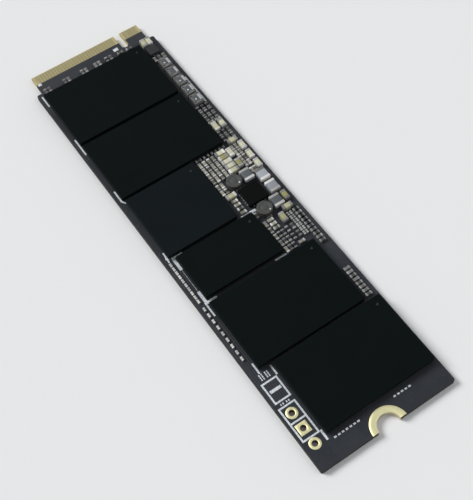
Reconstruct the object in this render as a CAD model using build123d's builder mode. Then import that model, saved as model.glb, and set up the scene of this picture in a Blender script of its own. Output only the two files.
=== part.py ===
from build123d import *

import os
from collections import namedtuple

# Solid-state drive card for a keyed edge socket, with all its parts on the upper face.
# +X runs from the contact tip to the mounting notch, +Y towards the key side and +Z up.
# The origin is the middle of the underside. All sizes are in millimetres.

# Circuit board: laminate, and copper that lies flush in openings of the solder mask
board_thickness = 0.8
corner_radius = 0.3
copper = 0.04

# Contact tongue: odd positions are on the upper face and even positions on the lower face
contact_pitch = 0.5
contact_width = 0.35
contact_length = 1.75
contact_setback = 0.05
tip_bevel = 0.2
last_position = 75
key_first = 59
key_last = 66
key_width = 1.2
key_depth = 3.5
tongue_depth = 4.0
tongue_margin = 0.675

# Mounting notch in the far end, and the plated holes of the service header
notch_radius = 1.75
land_radius = 2.75
header_pitch = 2.54
header_hole = 0.9
header_pad = 1.7
header_inset = 3.6
header_margin = 1.6

# Memory, controller and cache packages
flash_length = 12.0
flash_width = 18.0
flash_height = 1.0
controller_side = 12.0
controller_height = 1.0
cache_length = 8.0
cache_width = 13.2
cache_height = 1.0
dimple_inset = 1.15
dimple_radius = 0.3
dimple_depth = 0.05

# Spaces along the board, from the shoulder of the tongue to the mounting end
connector_strip = 1.2
flash_gap = 0.6
controller_gap = 0.5
cache_gap = 0.6
third_flash_gap = 0.9
fourth_flash_gap = 0.5
mounting_strip = 3.7

# Spaces across the board: each package's margin from its own long edge, and the strip of chip parts
flash_margin = 0.7
controller_margin = 0.9
cache_margin = 1.75
third_flash_margin = 1.55
fourth_flash_margin = 0.5
chip_strip = 3.3

# Leadless regulator and load switch, with their tinned lands
regulator_side = 3.4
regulator_height = 0.75
regulator_inset = 0.5
regulator_standoff = 2.6
switch_side = 1.8
switch_height = 0.7
switch_offset = 1.0
land_pitch = 0.5
land_width = 0.28
land_height = 0.2
land_toe = 0.1

# Round wound inductors on two feet each
inductor_diameter = 2.4
inductor_height = 0.9
inductor_flange = 0.25
inductor_waist = 2.1
inductor_bevel = 0.08
inductor_drop = 0.7
inductor_standoff = 0.8
foot_length = 0.6
foot_width = 0.9
foot_thickness = 0.1
foot_toe = 0.15

# Chip parts: length between the end faces, width, height and the plated length of each end
small_length = 1.0
small_width = 0.5
small_height = 0.45
small_end = 0.25
fine_length = 0.6
fine_width = 0.3
fine_height = 0.3
bulk_length = 1.6
bulk_width = 0.8
bulk_height = 0.8
bulk_end = 0.35
filter_length = 2.0
filter_width = 1.6
filter_height = 0.9
filter_end = 0.4
end_lip = 0.02

# Spaces between chip parts, and from them to packages, board edges and contacts
chip_gap = 0.18
package_gap = 0.3
edge_gap = 0.55
rim_margin = 0.5
rim_gap = 0.55
rim_end = 2.0
filter_gap = 0.6
filter_lead = 1.3
filter_margin = 0.95
coupling_gap = 0.45
coupling_pitch = 0.7
coupling_positions = (2, 16, 29, 39)
pull_up_positions = (46, 49)
supply_position = 56
comb_overhang = 1.0
end_row_length = 5.7

os.makedirs("parts", exist_ok=True)
seated = (Align.CENTER, Align.CENTER, Align.MIN)
sunk = (Align.CENTER, Align.CENTER, Align.MAX)

Chip = namedtuple("Chip", "length width height end", defaults=[0])
small = Chip(small_length, small_width, small_height, small_end)
fine = Chip(fine_length, fine_width, fine_height)
bulk = Chip(bulk_length, bulk_width, bulk_height, bulk_end)
filter_chip = Chip(filter_length, filter_width, filter_height, filter_end)


class Area:
    """A rectangle on the board, given by its left and low edges, its length along X and its width along Y."""

    def __init__(self, left, low, length, width):
        self.left = left
        self.low = low
        self.length = length
        self.width = width
        self.right = left + length
        self.high = low + width
        self.x = left + length / 2
        self.y = low + width / 2


def save(sub_part, name):
    """Labels a finished sub-part and writes it to a file of its own."""
    sub_part.part.label = name
    export_step(sub_part.part, f"parts/{name}.step")


def position_y(number):
    """The centre line of a contact position: both faces share one numbering, half a pitch apart."""
    return (number - (1 + last_position) / 2) * contact_pitch / 2


def place(x, y, turned=False):
    """A seat on the upper face of the board, for a part that lies along X, or along Y when turned."""
    return Location((x, y, board_thickness), (0, 0, 90 if turned else 0))


def bay(chip, count, turned=False):
    """The room that a number of chips takes side by side along X, each with its gap."""
    return count * ((chip.width if turned else chip.length) + chip_gap)


def fill(chip, left, right, low, high, turned=False, gap=chip_gap):
    """Seats for as many chips as fit between four edges with a gap between them, spread evenly."""
    along = chip.width if turned else chip.length
    across = chip.length if turned else chip.width
    columns = int((right - left + gap) / (along + gap))
    rows = int((high - low + gap) / (across + gap))
    return [
        place(left + (i + 0.5) * (right - left) / columns, low + (j + 0.5) * (high - low) / rows, turned)
        for i in range(columns)
        for j in range(rows)
    ]


def seat_of(area):
    """The seat of a part that takes up an area."""
    return place(area.x, area.y)


# The board is as long as its row of packages, and as wide as its widest column of parts
tongue_width = 2 * (position_y(last_position) + tongue_margin)
package_lengths = 4 * flash_length + controller_side + cache_length
package_gaps = flash_gap + controller_gap + cache_gap + third_flash_gap + fourth_flash_gap
board_length = tongue_depth + connector_strip + package_lengths + package_gaps + mounting_strip
regulator_column = regulator_standoff + regulator_side + chip_gap + filter_width + filter_margin
inductor_column = inductor_standoff + inductor_diameter + package_gap + filter_width + filter_margin
board_width = max(
    flash_margin + flash_width + chip_strip,
    controller_margin + controller_side + regulator_column,
    cache_margin + cache_width + inductor_column,
)
tip = -board_length / 2
board_end = board_length / 2
board_low = -board_width / 2
board_high = board_width / 2
shoulder = tip + tongue_depth

# Packages, in a row from the shoulder to the mounting end
flash_1 = Area(shoulder + connector_strip, board_low + flash_margin, flash_length, flash_width)
flash_2 = Area(flash_1.right + flash_gap, flash_1.low, flash_length, flash_width)
controller_low = board_low + controller_margin
controller = Area(flash_2.right + controller_gap, controller_low, controller_side, controller_side)
cache = Area(controller.right + cache_gap, board_low + cache_margin, cache_length, cache_width)
flash_3 = Area(cache.right + third_flash_gap, board_low + third_flash_margin, flash_length, flash_width)
flash_4_low = board_high - fourth_flash_margin - flash_width
flash_4 = Area(flash_3.right + fourth_flash_gap, flash_4_low, flash_length, flash_width)

# The regulator stands over the controller's inner end, with an inductor and a filter on each side of it
regulator_left = controller.right - regulator_inset - regulator_side
regulator = Area(regulator_left, controller.high + regulator_standoff, regulator_side, regulator_side)
inductor_1_left = regulator.left - land_toe - package_gap - inductor_diameter
inductor_1 = Area(inductor_1_left, regulator.low - inductor_drop, inductor_diameter, inductor_diameter)
inductor_2_left = regulator.right + land_toe + package_gap
inductor_2 = Area(inductor_2_left, cache.high + inductor_standoff, inductor_diameter, inductor_diameter)
filter_low = board_high - filter_margin - filter_width
filter_1 = Area(regulator.left - filter_lead, filter_low, filter_length, filter_width)
filter_2 = Area(filter_1.right + filter_gap, filter_low, filter_length, filter_width)
filter_3_left = inductor_1.x - filter_length / 2
filter_3 = Area(filter_3_left, inductor_1.high + package_gap, filter_length, filter_width)
filter_4 = Area(inductor_2.left, inductor_2.high + package_gap, filter_length, filter_width)
strip_low = flash_1.high + package_gap
strip_high = board_high - edge_gap
switch = Area(flash_1.left + switch_offset, strip_low + chip_gap, switch_side, switch_side)

# Chip parts behind the contacts: a coupling pair for each transmit lane, pull-ups and supply capacitors
coupling_x = flash_1.left - coupling_gap - small_length / 2
key_y = position_y((key_first + key_last) / 2)
coupling_places = [
    place(coupling_x, position_y(number) + side * coupling_pitch / 2)
    for number in coupling_positions
    for side in (-1, 1)
]
resistor_places = [place(coupling_x, position_y(number)) for number in pull_up_positions]
bypass_places = [place(coupling_x, position_y(supply_position), True)]
bypass_places += [place((tip + key_depth + flash_1.left) / 2, key_y, True)]
bulk_places = []
filter_places = [seat_of(area) for area in (filter_1, filter_2, filter_3, filter_4)]

# Strip beside the first two memory packages, filled in bays from its inner end towards the load switch
bay_right = flash_2.right + bulk_width
for places, chip, columns, turned in (
    (bulk_places, bulk, 1, True),
    (resistor_places, small, 2, False),
    (bulk_places, bulk, 1, False),
    (bypass_places, small, 1, True),
    (resistor_places, small, 3, False),
):
    bay_left = bay_right - bay(chip, columns, turned)
    places += fill(chip, bay_left, bay_right, strip_low, strip_high, turned)
    bay_right = bay_left
stack_left = switch.right + land_toe + package_gap
stack_right = stack_left + bay(small, 1)
bypass_places += fill(small, stack_left, stack_right, strip_low, strip_high)
filter_places += fill(filter_chip, stack_right, bay_right, strip_low, strip_high)
corner_right = switch.left - land_toe - chip_gap
bulk_places += fill(bulk, shoulder + chip_gap, corner_right, switch.low, switch.high)

# Cluster between the second memory package and the first inductor, in rows from the board edge down
cluster_low = controller.high + package_gap
column_left = flash_2.right + chip_gap
column_right = column_left + small_width
column_high = strip_low - chip_gap
cluster_left = column_right + chip_gap
cluster_right = min(inductor_1.left, filter_3.left) - chip_gap
edge_row_low = strip_high - bulk_width - chip_gap
second_row_low = edge_row_low - 2 * (small_width + chip_gap)
third_row_low = second_row_low - bulk_width - chip_gap
fourth_row_low = third_row_low - bulk_length - chip_gap
edge_row_right = filter_1.left - chip_gap
resistor_places += fill(small, column_left, column_right, cluster_low, column_high, True)
bulk_places += fill(bulk, cluster_left, edge_row_right, edge_row_low, strip_high)
bypass_places += fill(small, cluster_left, cluster_right, second_row_low, edge_row_low)
bypass_places += fill(small, filter_3.left, edge_row_right, filter_3.high + chip_gap, edge_row_low)
bulk_places += fill(bulk, cluster_left, cluster_right, third_row_low, second_row_low)
bulk_places += fill(bulk, cluster_left, cluster_right, fourth_row_low, third_row_low, True)
bypass_places += fill(small, cluster_left, cluster_right, cluster_low, fourth_row_low)

# Below the first inductor and the regulator, above the controller
below_regulator = regulator.low - land_toe - chip_gap
tank_left = inductor_1.right + chip_gap
tank_right = tank_left + bay(bulk, 1, True)
bypass_places += fill(small, inductor_1.left, inductor_1.right, cluster_low, inductor_1.low - chip_gap)
bulk_places += fill(bulk, tank_left, tank_right, cluster_low, below_regulator, True)
bypass_places += fill(small, tank_right, controller.right, cluster_low, below_regulator, True)

# Round the second inductor, above the cache package
slot_left = controller.right + chip_gap
slot_low = cache.high + chip_gap / 2
bypass_places += fill(small, slot_left, inductor_2.right, slot_low, inductor_2.low - chip_gap / 2)
bulk_places += fill(bulk, filter_2.right + chip_gap, filter_4.right, filter_4.high + chip_gap, strip_high)
tall_left = filter_4.right + chip_gap
tall_right = tall_left + bay(bulk, 1, True)
bulk_places += fill(bulk, tall_left, tall_right, inductor_2.high + package_gap, strip_high, True)

# Field between the second inductor and the third memory package
field_left = inductor_2.right + foot_toe + chip_gap
field_right = flash_3.left - package_gap
field_low = cache.high + package_gap
first_row_high = field_low + small_width + chip_gap
block_high = first_row_high + 2 * (small_width + chip_gap)
block_right = field_left + bay(small, 2)
pair_left = field_right - bay(small, 1)
comb_low = strip_high - small_length - 2 * chip_gap
fine_low = comb_low - 2 * (fine_width + chip_gap)
bypass_places += fill(small, field_left, field_right, field_low, first_row_high)
bypass_places += fill(small, field_left, block_right, first_row_high, block_high, True)
resistor_places += fill(small, block_right + chip_gap, field_right, first_row_high, block_high)
bulk_places += fill(bulk, field_left, block_right, block_high + package_gap, fine_low)
resistor_places += fill(small, block_right, pair_left, block_high, fine_low)
bypass_places += fill(small, pair_left, field_right, block_high, fine_low, True)
comb_left = tall_right + chip_gap
resistor_places += fill(small, comb_left, flash_3.left + comb_overhang, comb_low, strip_high, True)
fine_places = fill(fine, comb_left, pair_left, fine_low, comb_low)

# Rows along the two long edges of the board, beside the cache and the third memory package
rim_low = board_low + rim_margin
rim_high = rim_low + fine_width
end_row_right = flash_3.right - chip_gap
end_row_left = end_row_right - end_row_length
end_row_low = flash_3.high + package_gap
fine_places += fill(fine, cache.left, cache.right, rim_low, rim_high)
fine_places += fill(fine, cache.right + rim_gap, flash_3.right - rim_end, rim_low, rim_high, gap=rim_gap)
resistor_places += fill(small, end_row_left, end_row_right, end_row_low, strip_high, True)

# Service header, in a row near the mounting end
header_y = board_low + header_margin
header_places = [(board_end - header_inset - step * header_pitch, header_y) for step in (2, 1, 0)]
square_place = header_places[1]
round_places = [header_places[0], header_places[2]]

# Circuit board: shouldered blank with a rounded key notch, a half-round mounting notch and drilled holes
mask_length = tip_bevel + contact_setback + contact_length
key_run = key_depth - key_width / 2
with BuildPart() as circuit_board:
    with BuildSketch() as outline:
        with Locations(((shoulder + board_end) / 2, 0)):
            Rectangle(board_end - shoulder, board_width)
        fillet(outline.vertices(), corner_radius)
        with Locations(((tip + flash_1.left) / 2, 0)):
            Rectangle(flash_1.left - tip, tongue_width)
        with Locations((tip + key_run / 2, key_y)):
            Rectangle(key_run, key_width, mode=Mode.SUBTRACT)
        with Locations((tip + key_run, key_y)):
            Circle(key_width / 2, mode=Mode.SUBTRACT)
        with Locations((board_end, 0)):
            Circle(notch_radius, mode=Mode.SUBTRACT)
        with Locations(*round_places):
            Circle(header_pad / 2, mode=Mode.SUBTRACT)
        with Locations(square_place):
            Rectangle(header_pad, header_pad, mode=Mode.SUBTRACT)
    extrude(amount=board_thickness)
    # Openings in the solder mask of both faces, which the bare copper fills
    for opening_floor in (0, board_thickness - copper):
        with BuildSketch(Plane.XY.offset(opening_floor)):
            with Locations((tip + mask_length / 2, 0)):
                Rectangle(mask_length, tongue_width)
            with Locations((board_end, 0)):
                Circle(land_radius)
        extrude(amount=copper, mode=Mode.SUBTRACT)
    chamfer(circuit_board.edges().filter_by(Axis.Y).group_by(Axis.X)[0], tip_bevel)
save(circuit_board, "circuit_board")


def contact_row(name, first_position, base):
    """The gold contacts of one face, at every other position except those that the key notch takes."""
    numbers = [n for n in range(first_position, last_position + 1, 2) if not key_first <= n <= key_last]
    contact_x = tip + mask_length - contact_length / 2
    with BuildPart() as row:
        with Locations(*[(contact_x, position_y(number), base) for number in numbers]):
            Box(contact_length, contact_width, copper, align=seated)
    save(row, name)


contact_row("edge_contacts_top", 1, board_thickness - copper)
contact_row("edge_contacts_bottom", 2, 0)

# Mounting land: half a ring on each face round the notch, where a screw's head and a standoff bear
with BuildPart() as mounting_land:
    for land_floor in (0, board_thickness - copper):
        with BuildSketch(Plane((board_end, 0, land_floor))):
            Circle(land_radius)
            Circle(notch_radius, mode=Mode.SUBTRACT)
            Rectangle(land_radius, 2 * land_radius, align=(Align.MAX, Align.CENTER), mode=Mode.INTERSECT)
        extrude(amount=copper)
save(mounting_land, "mounting_land")

# Header eyelets: plated sleeves, flush with both faces of the board; the middle one is square
for number, (x, y) in enumerate(header_places, start=1):
    with BuildPart() as eyelet:
        with BuildSketch(Plane((x, y, 0))):
            if (x, y) == square_place:
                Rectangle(header_pad, header_pad)
            else:
                Circle(header_pad / 2)
            Circle(header_hole / 2, mode=Mode.SUBTRACT)
        extrude(amount=board_thickness)
    save(eyelet, f"header_eyelet_{number}")


def package(name, area, height, dimpled):
    """A moulded package sawn square. A shallow dimple marks the first terminal of the large ones."""
    with BuildPart() as body:
        with Locations(seat_of(area)):
            Box(area.length, area.width, height, align=seated)
        if dimpled:
            with Locations((area.left + dimple_inset, area.high - dimple_inset, board_thickness + height)):
                Cylinder(dimple_radius, dimple_depth, align=sunk, mode=Mode.SUBTRACT)
    save(body, name)


for number, area in enumerate((flash_1, flash_2, flash_3, flash_4), start=1):
    package(f"flash_package_{number}", area, flash_height, True)
package("controller_package", controller, controller_height, True)
package("cache_package", cache, cache_height, True)
package("power_regulator", regulator, regulator_height, False)
package("load_switch", switch, switch_height, False)


def lands(name, area, sides):
    """Tinned lands along the foot of a square leadless package, on two or four of its sides."""
    with BuildPart() as row:
        with Locations(seat_of(area)):
            with PolarLocations((area.length + land_toe) / 2, sides):
                with GridLocations(0, land_pitch, 1, int(area.width / land_pitch) - 1):
                    Box(land_toe, land_width, land_height, align=seated)
    save(row, name)


lands("power_regulator_lands", regulator, 4)
lands("load_switch_lands", switch, 2)

# Wound inductors: a ferrite drum with a resin-filled waist, standing on two tinned feet
for number, area in enumerate((inductor_1, inductor_2), start=1):
    with BuildPart() as drum:
        with BuildSketch(Plane((area.x, area.y, board_thickness + foot_thickness), (1, 0, 0), (0, -1, 0))):
            Rectangle(inductor_waist / 2, inductor_height, align=Align.MIN)
            Rectangle(inductor_diameter / 2, inductor_flange, align=Align.MIN)
            with Locations((0, inductor_height)):
                Rectangle(inductor_diameter / 2, inductor_flange, align=(Align.MIN, Align.MAX))
        revolve(axis=Axis((area.x, area.y, 0), (0, 0, 1)))
        chamfer(drum.edges().filter_by(GeomType.CIRCLE).group_by(Axis.Z)[-1], inductor_bevel)
    save(drum, f"power_inductor_{number}")

foot_x = inductor_diameter / 2 + foot_toe - foot_length / 2
with BuildPart() as feet:
    with Locations(seat_of(inductor_1), seat_of(inductor_2)):
        with GridLocations(2 * foot_x, 0, 2, 1):
            Box(foot_length, foot_width, foot_thickness, align=seated)
save(feet, "power_inductor_feet")


def chips(name, chip, places):
    """Chip parts of one kind: ceramic blocks, each between a pair of plated ends that wrap its corners."""
    with BuildPart() as blocks:
        with Locations(*places):
            Box(chip.length - 2 * chip.end, chip.width - 2 * end_lip, chip.height - end_lip, align=seated)
    save(blocks, f"{name}s")
    with BuildPart() as ends:
        with Locations(*places):
            with GridLocations(chip.length - chip.end, 0, 2, 1):
                Box(chip.end, chip.width, chip.height, align=seated)
    save(ends, f"{name}_ends")


chips("coupling_capacitor", small, coupling_places)
chips("bypass_capacitor", small, bypass_places)
chips("bulk_capacitor", bulk, bulk_places)
chips("resistor", small, resistor_places)
chips("filter_inductor", filter_chip, filter_places)

# The smallest chips are one solid each
with BuildPart() as fine_chips:
    with Locations(*fine_places):
        Box(fine_length, fine_width, fine_height, align=seated)
save(fine_chips, "fine_chips")
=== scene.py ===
import bpy
import numpy as np
from mathutils import Matrix, Vector


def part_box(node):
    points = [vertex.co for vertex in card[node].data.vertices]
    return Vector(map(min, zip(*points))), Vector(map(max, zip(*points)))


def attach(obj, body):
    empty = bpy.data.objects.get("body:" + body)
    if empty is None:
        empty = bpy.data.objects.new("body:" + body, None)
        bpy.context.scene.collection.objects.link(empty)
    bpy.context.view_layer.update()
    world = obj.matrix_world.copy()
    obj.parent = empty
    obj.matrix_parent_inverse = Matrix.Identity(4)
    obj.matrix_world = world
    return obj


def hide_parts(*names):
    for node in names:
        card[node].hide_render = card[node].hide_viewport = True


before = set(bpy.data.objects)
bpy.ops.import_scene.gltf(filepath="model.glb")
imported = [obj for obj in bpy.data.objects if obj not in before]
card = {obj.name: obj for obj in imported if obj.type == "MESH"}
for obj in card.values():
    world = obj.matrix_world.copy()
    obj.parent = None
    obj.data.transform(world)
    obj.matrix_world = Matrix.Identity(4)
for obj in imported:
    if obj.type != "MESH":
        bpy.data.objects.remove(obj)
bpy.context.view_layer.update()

# Circuit board: glass-fibre laminate, pressed in layers with the copper, then drilled and routed to shape.
# A satin black solder mask covers both faces, and bare laminate shows between the contacts on the tongue.
# The routed walls show the laminate's layers, apart from the wall of the screw notch, which is plated.
# Their dark tone is partly the laminate's own colour and partly painted shade.
mm = 0.001


def box_mm(node):
    """The lowest and highest corners of a node, in millimetres."""
    return tuple(np.array(corner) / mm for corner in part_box(node))


def ink(red, green, blue):
    """A colour as it shows on a screen, 0 to 255, in the linear values that a shader takes."""
    shown = np.array([red, green, blue]) / 255
    linear = np.where(shown <= 0.04045, shown / 12.92, ((shown + 0.055) / 1.055) ** 2.4)
    return (*linear.tolist(), 1.0)


class Shade:
    """A shader socket that takes part in Python sums: each operator adds one Math node to its tree."""

    def __init__(self, tree, socket=None):
        self.tree = tree
        self.socket = socket

    def feed(self, target, value):
        """Links another shade to a socket, or sets the socket to a plain value."""
        if isinstance(value, Shade):
            self.tree.links.new(value.socket, target)
        else:
            target.default_value = value

    def node(self, kind, settings, sockets, output=0):
        """Adds a node of any kind: first its settings, then the values or links of its sockets."""
        made = self.tree.nodes.new(kind)
        for name, value in settings.items():
            setattr(made, name, value)
        for name, value in sockets.items():
            self.feed(made.inputs[name], value)
        return Shade(self.tree, made.outputs[output])

    def maths(self, operation, first, second=0.0):
        """Adds a Math node on one or two shades or numbers."""
        return self.node("ShaderNodeMath", {"operation": operation}, {0: first, 1: second})

    def __add__(self, other):
        return self.maths("ADD", self, other)

    def __radd__(self, other):
        return self.maths("ADD", other, self)

    def __sub__(self, other):
        return self.maths("SUBTRACT", self, other)

    def __rsub__(self, other):
        return self.maths("SUBTRACT", other, self)

    def __mul__(self, other):
        return self.maths("MULTIPLY", self, other)

    def __rmul__(self, other):
        return self.maths("MULTIPLY", other, self)

    def __lt__(self, other):
        return self.maths("LESS_THAN", self, other)

    def __gt__(self, other):
        return self.maths("GREATER_THAN", self, other)

    def __abs__(self):
        return self.maths("ABSOLUTE", self)


def finish(name, **constants):
    """A new material, the shade that its pattern starts from, and its shader's sockets.
    The constants go straight onto the sockets."""
    material = bpy.data.materials.new(name)
    material.use_nodes = True
    sockets = material.node_tree.nodes["Principled BSDF"].inputs
    for socket, value in constants.items():
        sockets[socket.replace("_", " ")].default_value = value
    return material, Shade(material.node_tree), sockets


def place_on(shade):
    """The spot on the card, in millimetres."""
    spot = shade.node("ShaderNodeTexCoord", {}, {}, "Object")
    return shade.node("ShaderNodeVectorMath", {"operation": "SCALE"}, {0: spot, "Scale": 1 / mm})


def axes_of(vector):
    """The three numbers of a vector."""
    return [vector.node("ShaderNodeSeparateXYZ", {}, {0: vector}, axis) for axis in range(3)]


def flatness(shade):
    """How flat a face lies: 1 on a level face and 0 on an upright wall."""
    normal = shade.node("ShaderNodeNewGeometry", {}, {}, "Normal")
    return abs(axes_of(normal)[2])


def cloud(place, scale, detail=3.0):
    """Soft random patches from 0 to 1, about 1 / scale millimetres across."""
    return place.node("ShaderNodeTexNoise", {}, {"Vector": place, "Scale": scale, "Detail": detail})


def zigzag(value, pitch):
    """A wave that rises from 0 to the pitch and falls back, over and over."""
    return value.maths("PINGPONG", value, pitch)


def stretched(place, along_x, along_y, along_z):
    """The same spots with each axis multiplied: a pattern is drawn out along an axis of small scale."""
    scale = (along_x, along_y, along_z)
    return place.node("ShaderNodeMapping", {}, {"Vector": place, "Scale": scale})


def between(value, low, high):
    """A soft step: 0 up to low, 1 from high on."""
    settings = {"interpolation_type": "SMOOTHSTEP"}
    return value.node("ShaderNodeMapRange", settings, {"Value": value, "From Min": low, "From Max": high})


def tinted(factor, low, high):
    """A colour between two others, by a factor from 0 to 1."""
    return factor.node("ShaderNodeMix", {"data_type": "RGBA"}, {0: factor, 6: low, 7: high}, 2)


def relief(height, depth):
    """The normal of a surface that rises by depth millimetres where height goes from 0 to 1."""
    sockets = {"Strength": 1.0, "Distance": depth * mm, "Height": height}
    return height.node("ShaderNodeBump", {}, sockets, "Normal")


def dress(nodes, material):
    """Gives solids of the card their finish."""
    for node in nodes:
        card[node].material_slots[0].material = material


board_low, board_high = box_mm("circuit_board")
board_top = board_high[2]
tip = board_low[0]
bare_depth = 2.0
key_centre = 6.125
key_reach = 0.75
key_depth = 3.6
notch_centre = (board_high[0], 0, board_top / 2)
notch_reach = 1.85
patch_scale = 0.17
track_pitch = 0.17
track_edge = (0.05, 0.11)
layer_pitch = 0.1
wall_to_face = (0.45, 0.6)
# A pair of colours goes from the darkest to the lightest.
mask_black = ink(33, 36, 41), ink(45, 48, 54)
track_black = ink(58, 61, 67)
laminate_tan = ink(150, 138, 96), ink(196, 184, 140)
routed_edge_and_shade = ink(20, 20, 20), ink(52, 50, 44)
wall_plating = ink(176, 164, 140), ink(214, 202, 174)

solder_mask, shade, sockets = finish("black_solder_mask", Specular_IOR_Level=0.3)
place = place_on(shade)
x, y, z = axes_of(place)
# Copper tracks show through the mask. They run along the card in some patches and across it in others.
patch_sockets = {"Vector": place, "Scale": patch_scale, "Randomness": 0.85}
patch = place.node("ShaderNodeTexVoronoi", {"distance": "CHEBYCHEV"}, patch_sockets, "Color")
kind = patch.node("ShaderNodeSeparateColor", {}, {0: patch})
tracks_x = between(zigzag(y, track_pitch), *track_edge) * (kind < 0.35)
tracks_y = between(zigzag(x, track_pitch), *track_edge) * (kind > 0.7)
tracks = tracks_x + tracks_y
mottle = cloud(place, 0.35)
speckle = cloud(place, 3.0, 2.0)
mask_tone = tinted(mottle * 0.75 + speckle * 0.25, *mask_black)
mask_tone = tinted(tracks * 0.25, mask_tone, track_black)
warp = cloud(stretched(place, 1.0, 6.0, 1.0), 1.2)
weft = cloud(stretched(place, 6.0, 1.0, 1.0), 1.2)
laminate_tone = tinted(warp * 0.5 + weft * 0.5, *laminate_tan)
layers = zigzag(z, layer_pitch) * (1 / layer_pitch)
# The routed walls get a dark tone that is partly the laminate's own colour and partly painted shade.
edge_tone_and_shade = tinted(layers * 0.6 + speckle * 0.4, *routed_edge_and_shade)
flat = between(flatness(shade), *wall_to_face)
bare = x < tip + bare_depth
key_wall = (abs(y - key_centre) < key_reach) * (x < tip + key_depth)
laminate = bare.maths("MAXIMUM", bare, key_wall * (1.0 - flat))
notch_sockets = {0: place, 1: notch_centre}
from_notch = place.node("ShaderNodeVectorMath", {"operation": "DISTANCE"}, notch_sockets, "Value")
notch_wall = (from_notch < notch_reach) * (1.0 - flat)
board_tone = tinted(flat, edge_tone_and_shade, mask_tone)
board_tone = tinted(laminate, board_tone, laminate_tone)
board_tone = tinted(notch_wall, board_tone, tinted(speckle, *wall_plating))
shade.feed(sockets["Base Color"], board_tone)
shade.feed(sockets["Roughness"], 0.42 + mottle * 0.14 + (1.0 - flat) * 0.25)
shade.feed(sockets["Normal"], relief(tracks * 0.8 + speckle * 0.2, 0.02))
dress(["circuit_board"], solder_mask)

# Via stubs: small drilled and plated holes that join the copper layers. The solder mask runs over them,
# so each shows as a low ring with a dip in the middle, on both faces of the board.
via_pitch = 1.9
via_stray = 0.45
row_stray = 0.3
via_clearance = 0.35
tongue_clearance = 4.6
notch_end_clearance = 0.9
low_edge_clearance = 0.55
key_edge_clearance = 0.4
via_profile = np.array([[0.27, -0.01], [0.21, 0.022], [0.12, 0.022], [0.06, 0.006]])
via_sides = 8
crease = np.radians(38)
block_vertices = 24
draw = np.random.default_rng(7)


def skin(name, rings, tone=None, loop=False):
    """A mesh of closed shells from rings of shape (copies, rings, points, 3), in millimetres. A band of
    quads joins each ring to the next. Flat caps close the first and last rings or, in a loop, a band joins
    them. The rings go from the foot upwards and counter-clockwise seen from above. A tone is one number for
    each copy."""
    copies, levels, points, _ = rings.shape
    index = np.arange(copies * levels * points).reshape(copies, levels, points)
    lower = index if loop else index[:, :-1]
    upper = np.roll(index, -1, axis=1) if loop else index[:, 1:]
    corners = [lower, np.roll(lower, -1, axis=2), np.roll(upper, -1, axis=2), upper]
    bands = np.stack(corners, axis=-1).reshape(-1, 4).tolist()
    caps = [] if loop else np.concatenate([index[:, 0, ::-1], index[:, -1]]).tolist()
    mesh = bpy.data.meshes.new(name)
    mesh.from_pydata((rings.reshape(-1, 3) * mm).tolist(), [], bands + caps)
    mesh.polygons.foreach_set("use_smooth", np.ones(len(mesh.polygons), bool))
    mesh.set_sharp_from_angle(angle=crease)
    if tone is not None:
        layer = mesh.attributes.new("tone", "FLOAT", "POINT")
        layer.data.foreach_set("value", np.repeat(tone, levels * points).astype(np.float32))
    return mesh


def add_piece(name, mesh, slot, material, *stands_for):
    """Adds a finished mesh to the card, with its material, and hides the solids that it stands for."""
    mesh.materials.append(material)
    piece = bpy.data.objects.new(name, mesh)
    bpy.context.scene.collection.objects.link(piece)
    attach(piece, "root")
    if stands_for:
        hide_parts(*stands_for)


def turned(places, profile, sides):
    """Rings of bodies of revolution: each (radius, height) of the profile is a circle about each place."""
    angle = np.linspace(0, 2 * np.pi, sides, endpoint=False)
    circle = np.stack([np.cos(angle), np.sin(angle), np.zeros(sides)], axis=-1)
    rings = profile[:, :1, None] * circle + profile[:, 1:, None] * np.array([0.0, 0.0, 1.0])
    return np.asarray(places)[:, None, None, :] + rings[None]


def vertices_of(node):
    """The vertices of a node, in millimetres."""
    mesh = card[node].data
    numbers = np.empty(len(mesh.vertices) * 3, np.float32)
    mesh.vertices.foreach_get("co", numbers)
    return numbers.reshape(-1, 3) / mm


def solids_of(node):
    """The lowest and highest corners of each block in a node. A block has three vertices at each corner."""
    corners = vertices_of(node).reshape(-1, block_vertices, 3)
    return corners.min(axis=1), corners.max(axis=1)


def clear_of(places, low, high, margin):
    """Which places keep a margin from every one of the boxes, seen from above."""
    near_low = places[:, None, :2] > low[None, :, :2] - margin
    near_high = places[:, None, :2] < high[None, :, :2] + margin
    return ~(near_low & near_high).all(axis=2).any(axis=1)


chip_groups = ["filter_inductor", "bulk_capacitor", "bypass_capacitor", "coupling_capacitor", "resistor"]
flash_packages = ["flash_package_1", "flash_package_2", "flash_package_3", "flash_package_4"]
large_packages = flash_packages + ["controller_package", "cache_package"]
leadless = ["power_regulator", "load_switch"]
drums = ["power_inductor_1", "power_inductor_2"]
eyelets = ["header_eyelet_1", "header_eyelet_2", "header_eyelet_3"]
holes = eyelets + ["mounting_land"]
whole = [box_mm(node) for node in large_packages + leadless + drums + holes]
blocks = [solids_of(group + "_ends") for group in chip_groups] + [solids_of("fine_chips")]
taken_low = np.concatenate([[low for low, _ in whole], *[low for low, _ in blocks]])
taken_high = np.concatenate([[high for _, high in whole], *[high for _, high in blocks]])
columns = np.arange(tip + tongue_clearance, board_high[0] - notch_end_clearance, via_pitch)
rows = np.arange(board_low[1] + low_edge_clearance, board_high[1] - key_edge_clearance, via_pitch)
grid = np.stack(np.meshgrid(columns, rows, indexing="ij"), axis=-1).reshape(-1, 2)
grid = grid + draw.uniform(-via_stray, via_stray, grid.shape) * np.array([1.0, row_stray])
above = grid[clear_of(grid, taken_low, taken_high, via_clearance)]
hole_low, hole_high = (np.array(corners) for corners in zip(*[box_mm(node) for node in holes]))
below = grid[clear_of(grid, hole_low, hole_high, via_clearance)]
top_vias = turned(np.c_[above, np.full(len(above), board_top)], via_profile, via_sides)
low_vias = turned(np.c_[below, np.zeros(len(below))], via_profile * [1, -1], via_sides)[:, ::-1]
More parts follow.
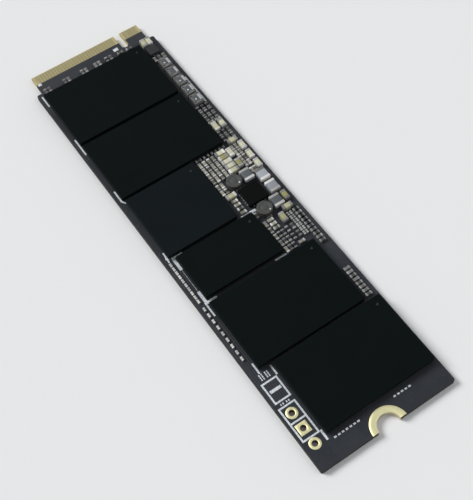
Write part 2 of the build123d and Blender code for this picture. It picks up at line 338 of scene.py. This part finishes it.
via_mesh = skin("via_stubs", np.concatenate([top_vias, low_vias]))
add_piece("via_stubs", via_mesh, "solder_mask", solder_mask)

# Printed guide marks: white ink, screened onto the solder mask before the parts are placed. Corner marks and
# bars show where the packages go, a box with a bar and a divided box stand at the header holes, and a dashed
# line keeps parts away from the mounting screw.
ink_height = 0.028
ink_step = 0.002
ink_steps = 5
faint_line = 0.035
tick_line = 0.16
fine_line = 0.25
end_line = 0.3
bold_line = 0.45
dot_line = 0.63


def strokes(lines):
    """Rings of flat bars: each line (x, y, x, y, width) is a box as thick as the ink, with square ends.
    Lines that cross differ in height by a hair, because two faces at one height would spoil each other."""
    lines = np.array(lines, float)
    start, end, half = lines[:, 0:2], lines[:, 2:4], lines[:, 4:5] / 2
    along = (end - start) / np.linalg.norm(end - start, axis=1, keepdims=True) * half
    side = np.stack([-along[:, 1], along[:, 0]], axis=-1)
    corners = [start - along - side, end + along - side, end + along + side, start - along + side]
    rings = np.empty((len(lines), 2, 4, 3))
    rings[..., :2] = np.stack(corners, axis=1)[:, None]
    rings[:, 0, :, 2] = board_top - ink_step
    rings[:, 1, :, 2] = board_top + ink_height + ink_step * (np.arange(len(lines)) % ink_steps)[:, None]
    return rings


def long_bar(start, stop, row, width=fine_line):
    """A line along the card, in a row at some distance across it."""
    return (start, row, stop, row, width)


def cross_bar(spot, start, stop, width=fine_line):
    """A line across the card, at a spot along it."""
    return (spot, start, spot, stop, width)


def frame_lines(left, right, low, high):
    """The four sides of a printed box."""
    corners = [(left, low), (right, low), (right, high), (left, high)]
    return [(*corners[i], *corners[(i + 1) % 4], fine_line) for i in range(4)]


low_row = -10.4
key_row = 10.4
low_marks = [
    long_bar(-35.2, -33.0, low_row),
    long_bar(-24.5, -21.2, low_row),
    long_bar(-12.5, -10.4, low_row),
    (-10.4, low_row, -9.9, low_row + 0.35, fine_line),
    (0.9, low_row + 0.25, 2.6, low_row + 0.15, fine_line),
    (1.9, low_row + 0.2, 2.0, low_row + 0.5, bold_line),
]
tongue_dot = [cross_bar(tip + 3.0, 4.25, 4.45, dot_line)]

cache_low, cache_high = box_mm("cache_package")
cache_start, cache_stop = cache_low[0], cache_high[0]
cache_row = cache_low[1] - 0.23
corner_run = 1.6
corner_gap = 0.35
corner_stop = cache_stop + corner_gap
cache_marks = [
    (cache_start - 0.6, cache_row, cache_start - 0.75, cache_row + 1.4, bold_line),
    long_bar(cache_start + corner_run, cache_stop - corner_run, cache_row, faint_line),
    long_bar(cache_start - corner_gap, cache_start + corner_run, cache_row, bold_line),
    cross_bar(corner_stop, cache_row, cache_row + 1.5, bold_line),
    long_bar(cache_stop - corner_run, corner_stop, cache_row, bold_line),
    long_bar(corner_stop, cache_stop + 2.6, cache_row - 0.2),
    cross_bar(cache_stop + 0.4, 2.5, 4.6, bold_line),
    cross_bar(cache_start - 0.5, 2.7, 4.8, bold_line),
    long_bar(cache_start - 0.5, cache_start + 1.0, 4.25),
]

flash_low, flash_high = box_mm("flash_package_4")
flash_row = -7.75
flash_marks = [
    long_bar(22.65, 24.2, cache_row - 0.15),
    long_bar(flash_low[0] - 0.05, flash_low[0] + 1.3, flash_row),
    long_bar(flash_high[0] - 0.8, flash_high[0] + 0.5, flash_row, end_line),
]

tick = 0.12
tick_spots = [24.5, 24.85, 25.2, 29.55]
tick_rows = [-9.9, -9.55, -9.0, -8.65]
header_low = -10.55
header_high = -8.05
header_marks = [long_bar(spot, spot + tick, row, tick_line) for spot in tick_spots for row in tick_rows]
header_marks += frame_lines(25.9, 29.1, low_row, header_high)
header_marks += [cross_bar(27.4, low_row + 0.55, header_high - 0.5, bold_line)]
header_marks += frame_lines(30.05, 35.4, header_low, header_high)
header_marks += [cross_bar(32.6, header_low, header_high)]

shoulder_dot = [cross_bar(tip + 2.25, -9.55, -9.4, bold_line)]
key_bar = [long_bar(-25.2, -19.2, key_row)]

dash = 0.12
dash_pitch = 0.62
dash_line = 37.2
first_dash = 2.95
key_dashes = 5
low_dashes = 7
dash_starts = first_dash + dash_pitch * np.arange(low_dashes)
screw_dashes = [cross_bar(dash_line, start, start + dash) for start in dash_starts[:key_dashes]]
screw_dashes += [cross_bar(dash_line, -start, -start - dash) for start in dash_starts]

marks = low_marks + tongue_dot + cache_marks + flash_marks
marks += header_marks + shoulder_dot + key_bar + screw_dashes
# This white also serves for the painted highlight dots on the drums and the far filters.
ink_and_glint_white = ink(176, 182, 188), ink(222, 226, 228)
white_ink_and_glint, shade, sockets = finish("white_marking_ink_and_glint", Specular_IOR_Level=0.2)
thin_spots = between(cloud(place_on(shade), 5.0, 2.0), 0.3, 0.7)
shade.feed(sockets["Base Color"], tinted(thin_spots, *ink_and_glint_white))
shade.feed(sockets["Roughness"], 0.7 + thin_spots * 0.15)
add_piece("guide_marks", skin("guide_marks", strokes(marks)), "solder_mask", white_ink_and_glint)

# Edge contacts: copper fingers on both faces of the tongue, plated with nickel and hard gold.
# Pushing the card into its socket leaves fine streaks along them.
contact_yellow = ink(188, 174, 126), ink(226, 216, 174)
contact_gold, shade, sockets = finish("hard_gold")
place = place_on(shade)
streaks = cloud(stretched(place, 0.5, 9.0, 1.0), 1.0)
patches = cloud(place, 0.8)
shade.feed(sockets["Base Color"], tinted(streaks * 0.6 + patches * 0.4, *contact_yellow))
shade.feed(sockets["Metallic"], 0.9 + patches * 0.1)
shade.feed(sockets["Roughness"], 0.26 + streaks * 0.2)
shade.feed(sockets["Normal"], relief(streaks, 0.004))
dress(["edge_contacts_top", "edge_contacts_bottom"], contact_gold)

# Mounting land and header eyelets: bare copper round the screw notch and the three holes, plated with a thin
# flash of gold, which is paler and rougher than that of the contacts. The plating swells a little between
# the edges of the half ring, and each hole has a raised rim.
land_yellow = ink(226, 218, 162), ink(244, 240, 198)
bore_shade_brown = ink(70, 48, 30), ink(120, 88, 54)
land_gold, shade, sockets = finish("flash_gold")
place = place_on(shade)
grain = cloud(place, 2.5)
scuffs = between(cloud(stretched(place, 1.0, 3.0, 1.0), 1.4, 5.0), 0.45, 0.7)
# Painted shade: upright faces in the holes are coloured dark brown for the shade inside them, and made less
# metallic.
bore = 1.0 - between(flatness(shade), 0.3, 0.6)
shade.feed(sockets["Base Color"], tinted(bore, tinted(grain, *land_yellow), tinted(grain, *bore_shade_brown)))
shade.feed(sockets["Metallic"], 0.55 + grain * 0.1 - bore * 0.3)
shade.feed(sockets["Roughness"], 0.46 + scuffs * 0.16)
shade.feed(sockets["Normal"], relief(grain, 0.006))
dress(holes, land_gold)

land_low, land_high = box_mm("mounting_land")
land_outer = (land_high - land_low)[1] / 2
land_inner = 1.75
land_crown = 0.09
rim_crown = 0.06
crown_foot = 0.03
crown_steps = 12
arc_steps = 40
rim_sides = 32
square_eyelet = "header_eyelet_2"
# Over the width of the plating its height rises from 0 to 1 and falls back, a little fuller than a sine.
step = np.linspace(0, 1, crown_steps + 1)
swell = np.sin(np.pi * step ** 1.3) ** 0.8


def swept_arc(section, centre, start, stop):
    """Rings of a section carried round an arc: each (radius, height) of the section, clockwise, turns about
    the centre."""
    angle = np.linspace(start, stop, arc_steps + 1)[:, None]
    radius, height = section[None, :, 0], section[None, :, 1]
    across = radius * np.cos(angle) + centre[0]
    along = radius * np.sin(angle) + centre[1]
    return np.stack([across, along, np.broadcast_to(height, across.shape)], axis=-1)[None]


def raised_rim(node):
    """Rings of the rim round a hole. The radius goes from the pad's edge, round or square, in to the bore,
    and the height swells between them as on the land."""
    low, high = box_mm(node)
    middle = (low + high)[:2] / 2
    bore = np.linalg.norm(vertices_of(node)[:, :2] - middle, axis=1).min()
    angle = np.linspace(0, 2 * np.pi, rim_sides, endpoint=False)
    across, along = np.cos(angle), np.sin(angle)
    bend = np.maximum(abs(across), abs(along)) if node == square_eyelet else np.ones(rim_sides)
    inward = np.r_[0, step, 1][:, None]
    radius = (high - low)[0] / 2 / bend * (1 - inward) + bore * inward
    height = board_top + np.r_[-crown_foot, rim_crown * swell, -crown_foot][:, None]
    height = np.broadcast_to(height, radius.shape)
    return np.stack([middle[0] + radius * across, middle[1] + radius * along, height], axis=-1)


over = np.c_[land_inner + (land_outer - land_inner) * step, board_top + land_crown * swell]
inner_foot = [land_inner, board_top - crown_foot]
outer_foot = [land_outer, board_top - crown_foot]
crown_section = np.r_[[inner_foot], over, [outer_foot]]
quarter = np.pi / 2
crown_rings = swept_arc(crown_section, (land_high[0], 0), quarter, 3 * quarter)
add_piece("land_crown", skin("land_crown", crown_rings), "land_gold", land_gold)
rim_rings = np.array([raised_rim(node) for node in eyelets])
add_piece("eyelet_rims", skin("eyelet_rims", rim_rings, loop=True), "land_gold", land_gold)

# Memory packages: four flash packages and the buffer memory. Each is a laminate base with black compound
# moulded over the dies, sawn to size and marked at its first terminal by a round dimple. It stands on rows
# of solder balls.
package_lift = 0.22
base_height = 0.24
package_corner = 0.12
package_edge = 0.06
edge_margin = 0.03
corner_steps = 3
dimple_depths = (0.01, 0.3)
dimple_reaches = np.array([0.06, 0.02, -0.01, -0.05])
dimple_lip = 0.02
dimple_line = 0.015
dimple_sheen_grey = ink(52, 56, 56)
base_green = ink(24, 30, 26), ink(44, 52, 44)


def rounded_outline(length, width, radius):
    """Points round a rectangle with round corners, counter-clockwise: a quarter circle at each corner."""
    angle = np.linspace(0, np.pi / 2, corner_steps + 1) + np.arange(4)[:, None] * np.pi / 2
    signs = np.array([[1, 1], [-1, 1], [-1, -1], [1, -1]])
    centres = signs * np.array([length / 2 - radius, width / 2 - radius])
    return (centres[:, None] + radius * np.stack([np.cos(angle), np.sin(angle)], axis=-1)).reshape(-1, 2)


def dimple_of(node, top):
    """The centre, radius and floor of the round dimple in a package's top face, or None."""
    spots = vertices_of(node)
    shallow, deep = dimple_depths
    inside = spots[(spots[:, 2] < top - shallow) & (spots[:, 2] > top - deep)]
    if not len(inside):
        return None
    low, high = inside.min(axis=0), inside.max(axis=0)
    return (low + high)[:2] / 2, (high - low)[0] / 2, low[2]


def moulded(node, lift):
    """Rings of a moulded package: its outline goes up the wall, in over a quarter round at the top edge,
    and on to the dimple, where each point of the outline moves straight to the dimple's centre."""
    low, high = box_mm(node)
    size, middle, top = (high - low)[:2], ((high + low) / 2)[:2], high[2]
    turn = np.linspace(0, np.pi / 2, corner_steps + 1)
    insets = np.r_[0.0, package_edge * (1 - np.cos(turn)), package_edge + edge_margin]
    heights = np.r_[low[2] + lift, top - package_edge * (1 - np.sin(turn)), top]
    outlines = [rounded_outline(*(size - 2 * inset), package_corner - inset / 2) + middle for inset in insets]
    rings = [np.c_[outline, np.full(len(outline), height)] for outline, height in zip(outlines, heights)]
    dimple = dimple_of(node, top)
    if dimple:
        centre, radius, floor = dimple
        toward = outlines[-1] - centre
        toward = toward / np.linalg.norm(toward, axis=1, keepdims=True)
        lip = zip(radius + dimple_reaches, [top, top, top - dimple_lip, floor])
        rings += [np.c_[centre + toward * reach, np.full(len(toward), height)] for reach, height in lip]
    return np.array(rings)[None]


def mould_finish(name, dark, light, base_line=0.0, top=0.0):
    """Black moulding compound with a fine grain. A laminate base shows at the walls below base_line, and
    the floor of a dimple, below the top, is smoother; its sheen is painted on as a paler grey."""
    material, shade, sockets = finish(name, Specular_IOR_Level=0.05)
    place = place_on(shade)
    grain = cloud(place, 14.0, 2.0)
    haze = cloud(place, 0.22)
    tone = tinted(haze * 0.7 + grain * 0.3, dark, light)
    height = axes_of(place)[2]
    base = height < base_line
    # Painted sheen: the smooth floor of a dimple is coloured a paler grey.
    dimple = (height > base_line) * (height < top - dimple_line) * between(flatness(shade), 0.5, 0.8)
    tone = tinted(dimple, tone, dimple_sheen_grey)
    shade.feed(sockets["Base Color"], tinted(base, tone, tinted(grain, *base_green)))
    shade.feed(sockets["Roughness"], 0.5 + haze * 0.14 + grain * 0.06 - dimple * 0.2)
    shade.feed(sockets["Normal"], relief(grain, 0.012))
    return material


base_line = board_top + package_lift + base_height
package_top = box_mm("flash_package_1")[1][2]
memory_mould = mould_finish("memory_mould", ink(5, 11, 12), ink(11, 17, 18), base_line, package_top)
for node in flash_packages + ["cache_package"]:
    add_piece(node + "_moulded", skin(node, moulded(node, package_lift)), "memory_mould", memory_mould, node)

# Controller: the square processor package, moulded, sawn and marked like the memories, in a slightly greyer
# compound. It stands on a closer grid of solder balls.
controller = "controller_package"
controller_mould = mould_finish("controller_mould", ink(11, 17, 20), ink(19, 25, 28), base_line, package_top)
controller_mesh = skin("controller", moulded(controller, package_lift))
add_piece(controller + "_moulded", controller_mesh, "controller_mould", controller_mould, controller)

# Solder balls: the grid of tin balls between each large package and the board. They flattened a little when
# they melted. Only the two outer rows can be seen, so those are all that is made.
ball_pitch = {"controller_package": 0.65, "cache_package": 0.8}
flash_pitch = 1.0
ball_margin = 0.75
ball_rows = 2
ball_profile = np.array([[0.13, 0.0], [0.19, 0.06], [0.2, 0.11], [0.19, 0.16], [0.13, 0.22]])
ball_sides = 8


def outer_rows(node, pitch):
    """Places of the two outer rows of a grid of balls, centred under a package."""
    low, high = box_mm(node)
    span = (high - low)[:2] - 2 * ball_margin
    counts = np.floor(span / pitch).astype(int) + 1
    steps = np.stack(np.meshgrid(*map(np.arange, counts), indexing="ij"), axis=-1).reshape(-1, 2)
    outer = ((steps < ball_rows) | (steps >= counts - ball_rows)).any(axis=1)
    spots = (steps[outer] - (counts - 1) / 2) * pitch + (low + high)[:2] / 2
    return np.c_[spots, np.full(len(spots), board_top)]


balls = np.concatenate([outer_rows(node, ball_pitch.get(node, flash_pitch)) for node in large_packages])
ball_grey = ink(176, 178, 180), ink(222, 223, 222)
bright_tin, shade, sockets = finish("melted_tin")
frost = cloud(place_on(shade), 6.0)
shade.feed(sockets["Base Color"], tinted(frost, *ball_grey))
shade.feed(sockets["Metallic"], 0.85 + frost * 0.1)
shade.feed(sockets["Roughness"], 0.3 + frost * 0.22)
ball_mesh = skin("solder_balls", turned(balls, ball_profile, ball_sides))
add_piece("solder_balls", ball_mesh, "tinned_metal", bright_tin)

# Power regulator and load switch: leadless packages of plain black and dark grey compound, moulded in a sheet
# and sawn apart. Their tinned lands end flush at the walls and are soldered flat to the board.
regulator_mould = mould_finish("regulator_mould", ink(7, 9, 9), ink(13, 15, 15))
switch_mould = mould_finish("switch_mould", ink(44, 44, 47), ink(64, 64, 67))
for node, mould in zip(leadless, [regulator_mould, switch_mould]):
    add_piece(node + "_moulded", skin(node, moulded(node, lift=0.0)), "leadless_mould", mould, node)
dress(["power_regulator_lands", "load_switch_lands", "power_inductor_feet"], bright_tin)

# Power inductors: wire wound on a ferrite drum, with the waist filled by resin that carries iron powder.
# The top flange is ground, which leaves a faint ring, and a white dot on it is a painted highlight.
# They stand on two tinned feet.
flange = 0.26
flange_slope = 0.03
waist_depth = 0.07
foot_edge = 0.05
drum_edge = 0.06
ring_radius = 0.62
ring_brink = 0.08
ring_floor = 0.03
ring_depth = 0.035
core_radius = 0.1
drum_sides = 48
glint_profile = np.array([[0.13, -0.01], [0.13, 0.008]])
glint_sides = 16
drum_glint = np.array([0.72, 0.5, 0.0])
drum_grey = ink(50, 51, 50), ink(84, 85, 82)
resin_brown = ink(52, 48, 44)


def middle_of(low, high, level):
    """The middle of boxes seen from above, at the height of their lowest or highest corners."""
    return np.concatenate([(low + high)[..., :2] / 2, level[..., 2:]], axis=-1)


drum_low, drum_high = box_mm(drums[0])
ferrite, shade, sockets = finish("ground_ferrite", Specular_IOR_Level=0.3)
place = place_on(shade)
height = axes_of(place)[2]
grain = cloud(place, 7.0)
resin = (height > drum_low[2] + flange) * (height < drum_high[2] - flange)
shade.feed(sockets["Base Color"], tinted(resin, tinted(grain, *drum_grey), resin_brown))
shade.feed(sockets["Roughness"], 0.48 + grain * 0.2)
shade.feed(sockets["Normal"], relief(grain, 0.01))
for node in drums:
    low, high = box_mm(node)
    radius, tall = (high - low)[0] / 2, (high - low)[2]
    waist = radius - waist_depth
    foot = [(radius - drum_edge, 0.0), (radius, foot_edge), (radius, flange)]
    filled = [(waist, flange + flange_slope), (waist, tall - flange - flange_slope)]
    top = [(radius, tall - flange), (radius, tall - drum_edge), (radius - drum_edge, tall)]
    ring = [(ring_radius + ring_brink, tall), (ring_radius + ring_floor, tall - ring_depth)]
    ring += [(ring_radius - ring_floor, tall - ring_depth), (ring_radius - ring_brink, tall)]
    profile = np.array(foot + filled + top + ring + [(core_radius, tall)])
    drum = turned([middle_of(low, high, low)], profile, drum_sides)
    add_piece(node + "_drum", skin(node, drum), "ferrite", ferrite, node)
# Painted highlight: a small white dot on each drum's top stands in for a glint.
glints = [middle_of(low, high, high) + drum_glint for low, high in map(box_mm, drums)]
add_piece("drum_glints", skin("drum_glints", turned(glints, glint_profile, glint_sides)), "ferrite", white_ink_and_glint)

# Chip parts: ceramic capacitors, filter beads and resistors, from the larger ones by the regulator to the
# small ones along the edges. Each is a fired block with metal ends that are soldered to the board. The far
# filters have plated bands along their long sides, the low-side one painted darker as painted shadow of the
# package beside it, and most of them a white dot that is a painted highlight.
chip_edge = 0.045
edge_ease = 0.3
end_growth = np.array([0.012, 0.012, 0.0])


def rounded_blocks(low, high, edge, spread=0.0):
    """Rings of blocks with eased edges: an outline of eight points, a rectangle with its corners cut, goes
    up the wall and in over the top edge. A spread makes the foot wider than the top, as solder stands."""
    half, middle = (high - low)[:, :2] / 2, (high + low)[:, :2] / 2
    signs = np.array([[1, -1], [1, 1], [1, 1], [-1, 1], [-1, 1], [-1, -1], [-1, -1], [1, -1]])
    cuts = np.array([[0, 1], [0, 1], [1, 0], [1, 0], [0, 1], [0, 1], [1, 0], [1, 0]]) * edge
    insets = np.array([-spread, 0.0, edge_ease * edge, edge])
    rise = np.array([0.0, 0.0, (1 - edge_ease) * edge, edge])
    reach = half[:, None, None] - cuts[None, None] - insets[None, :, None, None]
    rings = np.empty((len(low), 4, 8, 3))
    rings[..., :2] = middle[:, None, None] + reach * signs
    rings[..., 2] = (high[:, 2:] - edge + rise[None])[..., None]
    rings[:, 0, :, 2] = low[:, 2:]
    return rings


def own_tone(shade):
    """The number from 0 to 1 that each block carries."""
    return shade.node("ShaderNodeAttribute", {"attribute_name": "tone"}, {}, "Fac")


def ceramic_finish(name, dark, light, rough):
    """Fired ceramic or glaze. Each block has its own tone, with a fine grain over it."""
    material, shade, sockets = finish(name, Specular_IOR_Level=0.4)
    grain = cloud(place_on(shade), 6.0)
    tone = own_tone(shade) * 0.85 + grain * 0.15
    shade.feed(sockets["Base Color"], tinted(between(tone, 0.1, 0.9), dark, light))
    shade.feed(sockets["Roughness"], rough + grain * 0.15)
    return material


end_grey = ink(62, 62, 61), ink(255, 255, 252)
plated_end, shade, sockets = finish("plated_end")
frost = cloud(place_on(shade), 5.0)
shade.feed(sockets["Base Color"], tinted(own_tone(shade) * 0.8 + frost * 0.2, *end_grey))
shade.feed(sockets["Metallic"], 0.3 + frost * 0.15)
shade.feed(sockets["Roughness"], 0.34 + frost * 0.2)
body_finish = {
    "filter_inductor": ceramic_finish("filter_ceramic", ink(70, 75, 79), ink(160, 164, 170), 0.5),
    "bulk_capacitor": ceramic_finish("bulk_ceramic", ink(136, 133, 84), ink(198, 196, 172), 0.42),
    "bypass_capacitor": ceramic_finish("capacitor_ceramic", ink(62, 61, 56), ink(152, 150, 136), 0.45),
    "coupling_capacitor": ceramic_finish("coupling_ceramic", ink(70, 69, 66), ink(112, 111, 106), 0.5),
    "resistor": ceramic_finish("resistor_glaze", ink(22, 23, 26), ink(128, 129, 128), 0.3),
}
body_slot = {"filter_inductor": "filter_ceramic", "resistor": "resistor_glaze"}

# The tones differ on the far, middle and near stretches of the card: the range of the bodies, and the share
# of the full tone that the metal ends have.
far_end = box_mm(controller)[0][0]
near_start = cache_stop
stretch_ends = [far_end, near_start]
any_tone = (0.0, 1.0)
body_range = {
    "filter_inductor": [(0.1, 0.2), (0.55, 1.0), any_tone],
    "bulk_capacitor": [(0.55, 1.0), any_tone, any_tone],
    "bypass_capacitor": [(0.0, 0.6), any_tone, any_tone],
    "coupling_capacitor": [any_tone, any_tone, any_tone],
    "resistor": [(0.0, 0.35), (0.0, 0.35), (0.3, 0.75)],
}
end_share = {
    "filter_inductor": [0.2, 1.0, 1.0],
    "bulk_capacitor": [1.0, 1.0, 1.0],
    "bypass_capacitor": [0.6, 1.0, 1.0],
    "coupling_capacitor": [0.35, 0.35, 0.35],
    "resistor": [0.48, 0.8, 0.52],
}
end_contrast = 1.6
body_weight = 0.5
inner_row = 8.5
inner_share = 0.3
joints = []
for group in chip_groups:
    low, high = solids_of(group + "s")
    chance = draw.uniform(0, 1, len(low))
    darkest, lightest = np.array(body_range[group])[np.digitize(low[:, 0], stretch_ends)].T
    tone = darkest + (lightest - darkest) * chance
    inner = (group == "filter_inductor") & (high[:, 1] + low[:, 1] < 2 * inner_row)
    body_tone = np.where(inner, tone * inner_share, tone)
    body = skin(group, rounded_blocks(low, high, chip_edge), body_tone)
    slot = body_slot.get(group, "capacitor_ceramic")
    add_piece(group + "_blocks", body, slot, body_finish[group], group + "s")
    low, high = solids_of(group + "_ends")
    chance = draw.uniform(0, 1 - body_weight, len(low))
    share = np.array(end_share[group])[np.digitize(low[:, 0], stretch_ends)]
    end_tone = (np.repeat(tone, 2) * body_weight + chance) ** end_contrast * share
    caps = skin(group + "_caps", rounded_blocks(low - end_growth, high + end_growth, chip_edge), end_tone)
    add_piece(group + "_caps", caps, "plated_end", plated_end, group + "_ends")
    joints.append((low, high))

# Painted highlights: white dots near the middle of most far filters stand in for glints.
filter_glint = np.array([0.15, -0.2, 0.0])
glinting = [0, 2, 3, 4]
low, high = (corners[corners[:, 0] < far_end] for corners in solids_of("filter_inductors"))
order = np.argsort(low[:, 0])
low, high = low[order], high[order]
glints = (middle_of(low, high, high) + filter_glint)[glinting]
glint_mesh = skin("filter_glints", turned(glints, glint_profile, glint_sides))
add_piece("filter_glints", glint_mesh, "filter_ceramic", white_ink_and_glint)
band_width = 0.42
band_growth = 0.02
band_reach = 0.25
# The band on the low side is painted darker than the one on the key side: painted shadow of the package
# beside it.
key_side_tone = 0.38
shadowed_side_tone = 0.0
key_side_low = np.c_[low[:, 0] - band_reach, high[:, 1] - band_width, low[:, 2]]
key_side_high = high + [band_reach, band_growth, band_growth]
low_side_low = low - [band_reach, band_growth, 0]
low_side_high = np.c_[high[:, 0] + band_reach, low[:, 1] + band_width, high[:, 2] + band_growth]
band_low = np.concatenate([key_side_low, low_side_low])
band_high = np.concatenate([key_side_high, low_side_high])
band_tone_and_shadow = np.repeat([key_side_tone, shadowed_side_tone], len(low))
bands = skin("filter_bands", rounded_blocks(band_low, band_high, chip_edge), band_tone_and_shadow)
add_piece("filter_bands", bands, "plated_end", plated_end)

# Fine chips: the smallest capacitors, in one close row along the low edge and two short rows on the key side.
# Each is a block of pale fired ceramic with metal ends, soldered down like the larger ones.
fine_edge = 0.03
fine_end = 0.15
fine_growth = 0.01
key_side_share = 0.5
low, high = solids_of("fine_chips")
tone = draw.uniform(0.5, 1, len(low))
tone = np.where(low[:, 1] > 0, tone * key_side_share, tone)
pale = ceramic_finish("fine_ceramic", ink(62, 62, 60), ink(188, 189, 184), 0.45)
fine_mesh = skin("fine_chips", rounded_blocks(low, high, fine_edge), tone)
add_piece("fine_chip_blocks", fine_mesh, "capacitor_ceramic", pale, "fine_chips")
left_end = (low - fine_growth, np.c_[low[:, 0] + fine_end, high[:, 1:] + fine_growth])
right_end = (np.c_[high[:, 0] - fine_end, low[:, 1:] - fine_growth], high + fine_growth)
low, high = (np.concatenate(corners) for corners in zip(left_end, right_end))
low[:, 2] = board_top
fine_caps = skin("fine_chip_caps", rounded_blocks(low, high, fine_edge), np.tile(tone, 2))
add_piece("fine_chip_caps", fine_caps, "plated_end", plated_end)
joints.append((low, high))

# Solder joints: tin paste that was printed on the copper lands and melted in an oven. It ran round the foot
# of each chip's ends and drew up the metal as a slope.
joint_growth = np.array([0.014, 0.014, 0.0])
joint_spread = 0.035
joint_share = 0.35
joint_grey = ink(66, 67, 68), ink(126, 127, 126)
low, high = (np.concatenate(corners) for corners in zip(*joints))
joint_top = np.c_[high[:, :2], low[:, 2] + (high - low)[:, 2] * joint_share]
joint_rings = rounded_blocks(low - joint_growth, joint_top + joint_growth, chip_edge, joint_spread)
dull_tin, shade, sockets = finish("dull_tin")
frost = cloud(place_on(shade), 6.0)
shade.feed(sockets["Base Color"], tinted(frost, *joint_grey))
shade.feed(sockets["Metallic"], 0.8 + frost * 0.1)
shade.feed(sockets["Roughness"], 0.36 + frost * 0.22)
add_piece("solder_joints", skin("solder_joints", joint_rings), "tinned_metal", dull_tin)

# Floor and light: the card lies on a wide pale floor that curves up at its rim, so that no horizon shows.
# One large soft lamp stands high on the left, a weak one opposite, and an even sky fills the shadows.
floor_drop = 0.03 * mm
middle_reach = 0.5
flat_reach = 1.0
rim_reach = 3.0
rim_height = 0.9
rim_steps = 16
floor_sides = 96


def dish(radii):
    """A round floor as rings of points. The height is 0 up to flat_reach, and beyond it grows with the
    square of the distance, up to rim_height at rim_reach."""
    angle = np.linspace(0, 2 * np.pi, floor_sides, endpoint=False)
    past = np.clip((radii - flat_reach) / (rim_reach - flat_reach), 0, 1)
    rings = np.empty((len(radii), floor_sides, 3))
    rings[..., 0] = radii[:, None] * np.cos(angle)
    rings[..., 1] = radii[:, None] * np.sin(angle)
    rings[..., 2] = (rim_height * past ** 2)[:, None] - floor_drop
    return rings


floor_rings = dish(np.r_[middle_reach, np.linspace(flat_reach, rim_reach, rim_steps + 1)])
index = np.arange(floor_rings.size // 3).reshape(floor_rings.shape[:2])
ahead = np.roll(index, -1, axis=1)
floor_bands = np.stack([index[:-1], index[1:], ahead[1:], ahead[:-1]], axis=-1).reshape(-1, 4)
floor_mesh = bpy.data.meshes.new("floor")
floor_mesh.from_pydata(floor_rings.reshape(-1, 3).tolist(), [], floor_bands.tolist() + [index[0].tolist()])
floor_mesh.polygons.foreach_set("use_smooth", np.ones(len(floor_mesh.polygons), bool))
floor = bpy.data.objects.new("floor", floor_mesh)
bpy.context.scene.collection.objects.link(floor)
pale_floor, _, _ = finish("pale_floor", Base_Color=ink(226, 226, 226), Roughness=0.9)
floor_mesh.materials.append(pale_floor)


def soft_lamp(name, spot, spread, power):
    """A far, wide lamp whose light comes from one side, softened over an angle."""
    lamp = bpy.data.lights.new(name, "SUN")
    lamp.angle = np.radians(spread)
    lamp.energy = power
    stand = bpy.data.objects.new(name, lamp)
    stand.location = spot
    stand.rotation_euler = Vector(spot).to_track_quat("Z", "Y").to_euler()
    bpy.context.scene.collection.objects.link(stand)


soft_lamp("left_lamp", spot=(-0.3, -0.24, 0.3), spread=28, power=2.85)
soft_lamp("right_lamp", spot=(0.2, 0.3, 0.3), spread=50, power=0.5)
world = bpy.data.worlds.new("even_sky")
bpy.context.scene.world = world
world.use_nodes = True
sky = world.node_tree.nodes["Background"].inputs
sky["Color"].default_value = (0.94, 0.97, 1.0, 1.0)
sky["Strength"].default_value = 0.36

# Camera: it stands where the photograph was taken from, worked out from the card's own corners, notch and
# contacts. The eye and the aim are places in the card's frame, and the roll turns the picture upright.
eye = Vector((70.976, -39.297, 123.755)) * mm
aim = Vector((6.108, -0.979, 0.0)) * mm
roll = np.radians(-4.391)
focal_pixels = 1000.13
frame_pixels = 500
sight = (aim - eye).normalized()
level = sight.cross(Vector((0, 0, 1))).normalized()
right = level * np.cos(roll) + level.cross(sight) * np.sin(roll)
up = right.cross(sight)
lens = bpy.data.cameras.new("camera")
lens.sensor_width = 36
lens.lens = lens.sensor_width * focal_pixels / frame_pixels
lens.clip_start = 0.001
camera = bpy.data.objects.new("camera", lens)
camera.matrix_world = Matrix([[right[i], up[i], -sight[i], eye[i]] for i in range(3)] + [[0, 0, 0, 1]])
bpy.context.scene.collection.objects.link(camera)
bpy.context.scene.camera = camera
bpy.context.scene.view_settings.view_transform = "Standard"
